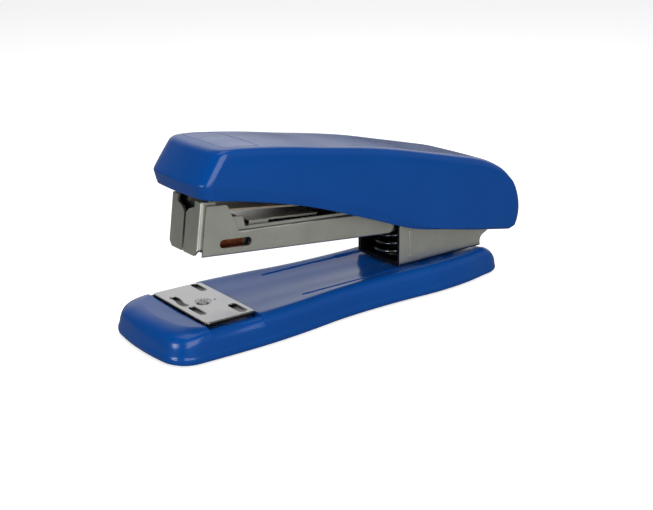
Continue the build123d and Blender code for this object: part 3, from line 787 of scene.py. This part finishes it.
def split_panel(shell):
    """Cuts the inlay out of the cover's top, leaving a fine shut line round it."""
    x0, x1 = panel_low.x, panel_high.x
    y1 = panel_high.y
    inlay = bpy.data.objects.new("cover_inlay", shell.data.copy())
    bpy.context.scene.collection.objects.link(inlay)
    keep = block("inlay_volume", (x0, -y1, panel_low.z), (x1, y1, panel_high.z + 3), 0.3)
    modifier(inlay, "keep", "BOOLEAN", operation="INTERSECT", object=keep, solver="EXACT")
    apply_modifiers(inlay)
    bpy.data.objects.remove(keep)
    gap = 0.13
    seat_low = (x0 - gap, -y1 - gap, panel_low.z - 0.05)
    seat_high = (x1 + gap, y1 + gap, panel_high.z + 3)
    cut(shell, block("inlay_seat", seat_low, seat_high, 0.3))
    for obj in (shell, inlay):
        modifier(
            obj, "edge", "BEVEL", width=0.1 * MM, segments=2, limit_method="ANGLE", angle_limit=radians(55)
        )
        apply_modifiers(obj)
        shade_by_angle(obj, 42)
    return inlay


inlay = split_panel(cover)
stand_for(cover, "cover_shell")
stand_for(inlay, "cover_panel")

# ---------------------------------------------------------------- anvil plate
# the plate rests this much deeper in its recess than its collision shape, which clears the base as it turns
PLATE_SEAT = 0.4


def build_anvil_plate():
    """Pressed plate with smooth clinch grooves, a rolled rim and rounded corners."""
    centre = (plate_low + plate_high) / 2
    half_x, half_y = (plate_high.x - plate_low.x) / 2, (plate_high.y - plate_low.y) / 2
    top, bottom = plate_high.z - PLATE_SEAT, plate_low.z - PLATE_SEAT
    corner, rim = 1.2, 0.35
    cells_x, cells_y = 100, 188
    # place of each groove, its length and width, and which end is the deep one
    grooves = [
        (-4.9, 3.8, 8.9, 1.75, 1),
        (-4.5, -4.9, 7.4, 1.9, 1),
        (4.8, 10.1, 6.7, 2.1, 1),
        (4.8, -9.5, 7.3, 2.5, 1),
    ]

    def sink(x, y):
        """Depth of the pressed grooves, and of the tiny locating dot, at a place on the plate."""
        depth = 0.0
        for gx, gy, length, width, deep_end in grooves:
            share = (y - gy) / (length / 2)
            bend = 0.35 * sin(pi * share) if gx < 0 < gy else 0.0
            along = max(abs(y - gy) - (length - width) / 2, 0)
            reach = np.hypot(x - gx - bend, along) / (width / 2)
            if reach < 1:
                ramp = 0.62 + 0.38 * share * deep_end
                depth = max(depth, 0.66 * ramp * (1 - reach**5))
        dot = np.hypot(x - 3.4, y + 0.4) / 0.3
        if dot < 1:
            depth = max(depth, 0.3 * (1 - dot**2))
        moat = 0.16 * np.exp(-(((np.hypot(x, y) - 2.0) / 0.28) ** 2))
        return depth + moat

    points, faces = [], []
    for i in range(cells_x + 1):
        for j in range(cells_y + 1):
            x = -half_x + 2 * half_x * i / cells_x
            y = -half_y + 2 * half_y * j / cells_y
            # pull the square corners of the grid onto the plate's round corners
            over_x, over_y = abs(x) - (half_x - corner), abs(y) - (half_y - corner)
            if over_x > 0 and over_y > 0:
                reach = max(over_x, over_y)
                length = np.hypot(over_x, over_y)
                x = np.sign(x) * (half_x - corner + over_x * reach / length)
                y = np.sign(y) * (half_y - corner + over_y * reach / length)
                edge = corner - reach
            else:
                edge = min(half_x - abs(x), half_y - abs(y))
            roll = 0.0
            if edge < rim:
                roll = rim - max(rim**2 - (rim - max(edge, 0.0)) ** 2, 0.0) ** 0.5
            points.append((centre.x + x, centre.y + y, top - roll - sink(x, y)))
    row = cells_y + 1
    for i in range(cells_x):
        for j in range(cells_y):
            faces.append((i * row + j, (i + 1) * row + j, (i + 1) * row + j + 1, i * row + j + 1))
    border = (
        [j for j in range(cells_y)]
        + [i * row + cells_y for i in range(cells_x)]
        + [cells_x * row + j for j in range(cells_y, 0, -1)]
        + [i * row for i in range(cells_x, 0, -1)]
    )
    first = len(points)
    for index in border:
        points.append((points[index][0], points[index][1], bottom))
    count = len(border)
    for k in range(count):
        following = (k + 1) % count
        faces.append((border[k], border[following], first + following, first + k))
    faces.append(tuple(range(first, first + count)))
    plate = mesh_object("anvil_plate_pressing", points, faces)
    turn_outwards(plate)
    cut(plate, prism("pin_seat", circle_outline((centre.x, centre.y), 1.5), bottom - 1, top + 1))
    shade_by_angle(plate, 50)
    return stand_for(plate, "anvil_plate")


build_anvil_plate()


def build_anvil_pin():
    """Headed pin, its upper end spread over the plate by a star-shaped punch."""
    low, high = low_mm("anvil_pin"), high_mm("anvil_pin")
    centre = (low + high) / 2
    shank, head, star = 1.47, 2.3, 6
    top = plate_high.z - PLATE_SEAT
    profile = [
        (0.0, low.z, 0), (head - 0.2, low.z, 0), (head, low.z + 0.2, 0), (head, low.z + 0.65, 0),
        (shank, low.z + 0.75, 0), (shank, top - 0.35, 0), (1.6, top - 0.02, 0), (1.72, top + 0.14, 0),
        (1.6, top + 0.27, 0.02), (1.3, top + 0.3, 0.06), (1.0, top + 0.2, 0.12), (0.7, top + 0.12, 0.16),
        (0.4, top + 0.16, 0.08), (0.0, top + 0.22, 0),
    ]
    steps = 72
    points, faces = [], []
    for radius, height, wave in profile[1:-1]:
        for k in range(steps):
            a = 2 * pi * k / steps
            rise = wave * cos(star * a)
            points.append((centre.x + radius * cos(a), centre.y + radius * sin(a), height + rise))
    rows = len(profile) - 2
    for i in range(rows - 1):
        for k in range(steps):
            j = (k + 1) % steps
            faces.append((i * steps + k, i * steps + j, (i + 1) * steps + j, (i + 1) * steps + k))
    for row, (_, height, _) in ((0, profile[0]), (rows - 1, profile[-1])):
        points.append((centre.x, centre.y, height))
        for k in range(steps):
            faces.append((row * steps + k, row * steps + (k + 1) % steps, len(points) - 1))
    pin = mesh_object("anvil_pin_turned", points, faces)
    turn_outwards(pin)
    shade_by_angle(pin, 45)
    stand_for(pin, "anvil_pin")
    pin.data.materials[0] = peened


build_anvil_pin()


# ---------------------------------------------------------------- sheet-metal parts
sheet_bevels = {
    "magazine_case": 0.12,
    "staple_channel": 0.14,
    "hinge_bracket": 0.14,
    "handle_frame": 0.12,
    "staple_core": 0.1,
    "pusher": 0.1,
    "spring_stop": 0.1,
    "hinge_pin": 0.15,
    "bracket_rivets": 0.2,
    "channel_rivets": 0.1,
    "driver_blade": 0.06,
    "driver_rivets": 0.1,
    "spring_rivet": 0.1,
    "return_spring": 0.12,
    "guide_rod": 0.1,
    "base_plate": 0.15,
    "base_pad": 0.15,
    "anvil_button": 0.15,
}
sheets = {}
for node, width in sheet_bevels.items():
    sheets[node] = stand_for(rounded_copy(node, width), node)

# ---------------------------------------------------------------- springs and staples
pin_centre = (low_mm("hinge_pin") + high_mm("hinge_pin")) / 2
TILT = radians(5.0)


def on_magazine(u, y, w):
    """Point of the magazine: u rearwards from the hinge pin, y across, w up."""
    return (pin_centre.x + u * cos(TILT) + w * sin(TILT), y, pin_centre.z - u * sin(TILT) + w * cos(TILT))


def draw_out_flaps(channel, strip_front=-92.9, forward=0.5, down=0.45):
    """Brings the two front flaps a little forward of the case and below it."""
    rearward = Vector(on_magazine(1, 0, 0)) - Vector(on_magazine(0, 0, 0))
    upward = Vector(on_magazine(0, 0, 1)) - Vector(on_magazine(0, 0, 0))
    for vertex in channel.data.vertices:
        offset = vertex.co / MM - Vector(on_magazine(0, 0, 0))
        along, height = offset.dot(rearward), offset.dot(upward)
        if along < strip_front:
            foot = eased(height, 2.0, -1.0)
            vertex.co += (upward * -down * foot - rearward * forward) * MM


draw_out_flaps(sheets["staple_channel"])


def paint_shade_inside_bracket(bracket, cheek=8.5):
    """Paints shade on the bracket's floor and on the inner faces of its two cheeks, with a near-black, dull
    material.
    """
    bracket.data.materials.append(painted_shade_inside)
    for face in bracket.data.polygons:
        inward = face.normal.y * face.center.y < -0.3 * abs(face.center.y)
        if inward or abs(face.center.y) / MM < cheek:
            face.material_index = 1


# painted shade inside the bracket
paint_shade_inside_bracket(sheets["hinge_bracket"])


def coil(height, turns, radius_low, radius_high, wire_radius, dead=0.0, steps=26):
    """Helix along +Z from the origin, closed up by dead turns at both ends."""
    path = []
    count = int(turns * steps)
    rise = height - 2 * dead * 2 * wire_radius
    for k in range(count + 1):
        turn = k / steps
        share = k / count
        climb = (turn - min(turn, dead) - max(turn - (turns - dead), 0)) / max(turns - 2 * dead, 1e-6)
        up = 2 * wire_radius * (min(turn, dead) + max(turn - (turns - dead), 0)) + rise * climb
        radius = radius_low + (radius_high - radius_low) * share
        angle = 2 * pi * turn
        path.append((radius * cos(angle), radius * sin(angle), up))
    return path


def placed(path, origin, along, across):
    """Path drawn along +Z, carried to run along another direction."""
    along, across = Vector(along).normalized(), Vector(across).normalized()
    other = along.cross(across)
    origin = Vector(origin)
    return [tuple(origin + across * x + other * y + along * z) for x, y, z in path]


def build_springs():
    low, high = low_mm("lift_spring"), high_mm("lift_spring")
    centre = (low + high) / 2
    wire_radius = 0.5
    height = high.z - low.z - 2 * wire_radius
    path = coil(height, turns=3.7, radius_low=6.2, radius_high=4.9, wire_radius=wire_radius, dead=0.5)
    path = placed(path, (centre.x, 0, low.z + wire_radius), (0, 0, 1), (0, -1, 0))
    spring = stand_for(tube("lift_spring_wire", path, wire_radius), "lift_spring")
    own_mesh(spring)

    low, high = low_mm("anvil_spring"), high_mm("anvil_spring")
    centre = (low + high) / 2
    wire_radius = 0.3
    height = high.z - low.z - 2 * wire_radius
    path = coil(height, turns=3.4, radius_low=3.6, radius_high=3.6, wire_radius=wire_radius, dead=0.4)
    path = placed(path, (centre.x, 0, low.z + wire_radius), (0, 0, 1), (1, 0, 0))
    spring = stand_for(tube("anvil_spring_wire", path, wire_radius, 10), "anvil_spring")
    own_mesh(spring)

    front, rear, rod_height = -79.3, -33.3, 2.2
    wire_radius, pusher_travel = 0.25, 24.0
    path = coil(
        rear - front, turns=24, radius_low=1.8, radius_high=1.8, wire_radius=wire_radius, dead=0.5, steps=18
    )
    start, end = Vector(on_magazine(front, 0, rod_height)), Vector(on_magazine(rear, 0, rod_height))
    path = placed(path, start, end - start, (0, 1, 0))
    spring = stand_for(tube("pusher_spring_wire", path, wire_radius, 8), "pusher_spring")
    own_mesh(spring)


build_springs()


def staple_path(u, crown_half, top, leg, bend=0.55, steps=5):
    """Middle line of one staple: leg, crown and leg, with bent corners."""
    path = [(-crown_half, top - leg), (-crown_half, top - bend)]
    for k in range(1, steps):
        a = pi / 2 * k / steps
        path.append((-crown_half + bend * (1 - cos(a)), top - bend * (1 - sin(a))))
    path.append((-crown_half + bend, top))
    path += [(-y, w) for y, w in reversed(path)]
    return [on_magazine(u, y, w) for y, w in path]


def build_staples():
    """The glued strip, wire by wire, each slightly out of line."""
    crown_half, wire_half, leg = 6.2, 0.25, 5.6
    first, last, count = -92.35, -81.95, 21
    top, sink = 4.23, 0.02
    wires = []
    rng = np.random.default_rng(7)
    for k in range(count):
        u = first + (last - first) * k / (count - 1)
        off = rng.normal(0, 0.02, 2)
        path = staple_path(u, crown_half + off[0], top + off[1] - sink, leg)
        wires.append(tube("wire", path, wire_half, 8))
    joined = bmesh.new()
    for wire_object in wires:
        joined.from_mesh(wire_object.data)
    mesh = bpy.data.meshes.new("staple_wires")
    joined.to_mesh(mesh)
    joined.free()
    for wire_object in wires:
        bpy.data.objects.remove(wire_object)
    strip = bpy.data.objects.new("staple_wires", mesh)
    bpy.context.scene.collection.objects.link(strip)
    return stand_for(strip, "staple_strip")


build_staples()

# ---------------------------------------------------------------- stage, light and camera
bpy.context.scene.view_settings.view_transform = "Standard"
FLOOR_REACH = 3000

floor = mesh_object(
    "floor",
    [(FLOOR_REACH * x, FLOOR_REACH * y, 0) for x, y in ((-1, -1), (1, -1), (1, 1), (-1, 1))],
    [(0, 1, 2, 3)],
)


def seen_directly(tree, others, camera):
    """Value for what the camera sees itself, and another for bounced light."""
    path = tree.nodes.new("ShaderNodeLightPath")
    return ranged(tree, path.outputs["Is Camera Ray"], others, camera, 0, 1)


paper, paper_tree, paper_shader, paper_place = blank("pale_floor", (0.9, 0.9, 0.9), 0.0, 0.7)
grain = noise(paper_tree, paper_place, 12, 2)
paper_shade = tinted(paper_tree, grain, (0.92, 0.92, 0.92), (0.95, 0.95, 0.95))
paper_mix = paper_tree.nodes.new("ShaderNodeMix")
paper_mix.data_type = "RGBA"
paper_tree.links.new(seen_directly(paper_tree, 0, 1), paper_mix.inputs["Factor"])
paper_mix.inputs[6].default_value = (0.27, 0.27, 0.262, 1)
paper_tree.links.new(paper_shade, paper_mix.inputs[7])
paper_tree.links.new(paper_mix.outputs[2], paper_shader.inputs["Base Color"])
paper_shader.inputs["Emission Color"].default_value = (1, 1, 1, 1)
paper_tree.links.new(seen_directly(paper_tree, 0, 0.62), paper_shader.inputs["Emission Strength"])
# from underneath, the floor lets the object show through
see_through = paper_tree.nodes.new("ShaderNodeBsdfTransparent")
facing = paper_tree.nodes.new("ShaderNodeNewGeometry")
sided = paper_tree.nodes.new("ShaderNodeMixShader")
paper_tree.links.new(facing.outputs["Backfacing"], sided.inputs[0])
paper_tree.links.new(paper_shader.outputs[0], sided.inputs[1])
paper_tree.links.new(see_through.outputs[0], sided.inputs[2])
paper_tree.links.new(sided.outputs[0], paper_tree.nodes["Material Output"].inputs["Surface"])
floor.data.materials.append(paper)


def multiplied(tree, first, second):
    product = tree.nodes.new("ShaderNodeMath")
    product.operation = "MULTIPLY"
    tree.links.new(first, product.inputs[0])
    tree.links.new(second, product.inputs[1])
    return product.outputs[0]


def studio_world():
    """Bright room all round and overhead, darker towards the horizon where light falls off."""
    world = bpy.data.worlds.new("studio")
    world.use_nodes = True
    tree = world.node_tree
    direction = tree.nodes.new("ShaderNodeTexCoord").outputs["Generated"]
    parts = tree.nodes.new("ShaderNodeSeparateXYZ")
    tree.links.new(direction, parts.inputs["Vector"])
    wall = ranged(tree, parts.outputs["Z"], 0.12, 1.02, 0.0, 0.1)
    ceiling = ranged(tree, parts.outputs["Z"], 1.0, 0.2, 0.42, 0.85)
    behind = ranged(tree, parts.outputs["X"], 0.1, 1.0, -0.4, 0.4)
    far = ranged(tree, parts.outputs["Y"], 0.4, 1.0, 0.0, 0.5)
    room = multiplied(tree, multiplied(tree, wall, ceiling), multiplied(tree, behind, far))
    mix = tree.nodes.new("ShaderNodeMix")
    path = tree.nodes.new("ShaderNodeLightPath")
    tree.links.new(path.outputs["Is Camera Ray"], mix.inputs[0])
    tree.links.new(room, mix.inputs[2])
    mix.inputs[3].default_value = 1.0
    background = tree.nodes["Background"]
    background.inputs["Color"].default_value = (1.0, 1.0, 1.0, 1)
    tree.links.new(mix.outputs[0], background.inputs["Strength"])
    return world


bpy.context.scene.world = studio_world()


def softbox(name, place_mm, aim_mm, size_mm, power):
    data = bpy.data.lights.new(name, "AREA")
    data.shape = "RECTANGLE"
    data.size, data.size_y = size_mm[0] * MM, size_mm[1] * MM
    data.energy = power
    lamp = bpy.data.objects.new(name, data)
    bpy.context.scene.collection.objects.link(lamp)
    place = Vector(place_mm) * MM
    lamp.location = place
    lamp.rotation_mode = "QUATERNION"
    lamp.rotation_quaternion = (Vector(aim_mm) * MM - place).to_track_quat("-Z", "Y")
    return lamp


softbox("top_box", (-20, 60, 620), (0, 0, 10), (520, 380), 1.2)
softbox("front_box", (-650, -60, 190), (0, 0, 20), (130, 150), 1.35)
softbox("side_box", (-170, -610, 330), (10, 0, 20), (620, 420), 4.0)

AZIMUTH, ELEVATION = radians(-36.83), radians(18.28)
ROLL = radians(-0.48)
DISTANCE = 311.6
TARGET = Vector((-0.3, 0.0, 13.8))
camera_data = bpy.data.cameras.new("camera")
camera_data.lens = 60.84
camera_data.sensor_width = 36
camera_data.clip_start = 0.01
camera = bpy.data.objects.new("camera", camera_data)
bpy.context.scene.collection.objects.link(camera)
back = Vector((sin(AZIMUTH) * cos(ELEVATION), -cos(AZIMUTH) * cos(ELEVATION), sin(ELEVATION)))
camera.location = (TARGET + back * DISTANCE) * MM
camera.rotation_mode = "QUATERNION"
camera.rotation_quaternion = (-back).to_track_quat("-Z", "Y") @ Quaternion((0, 0, 1), ROLL)
bpy.context.scene.camera = camera
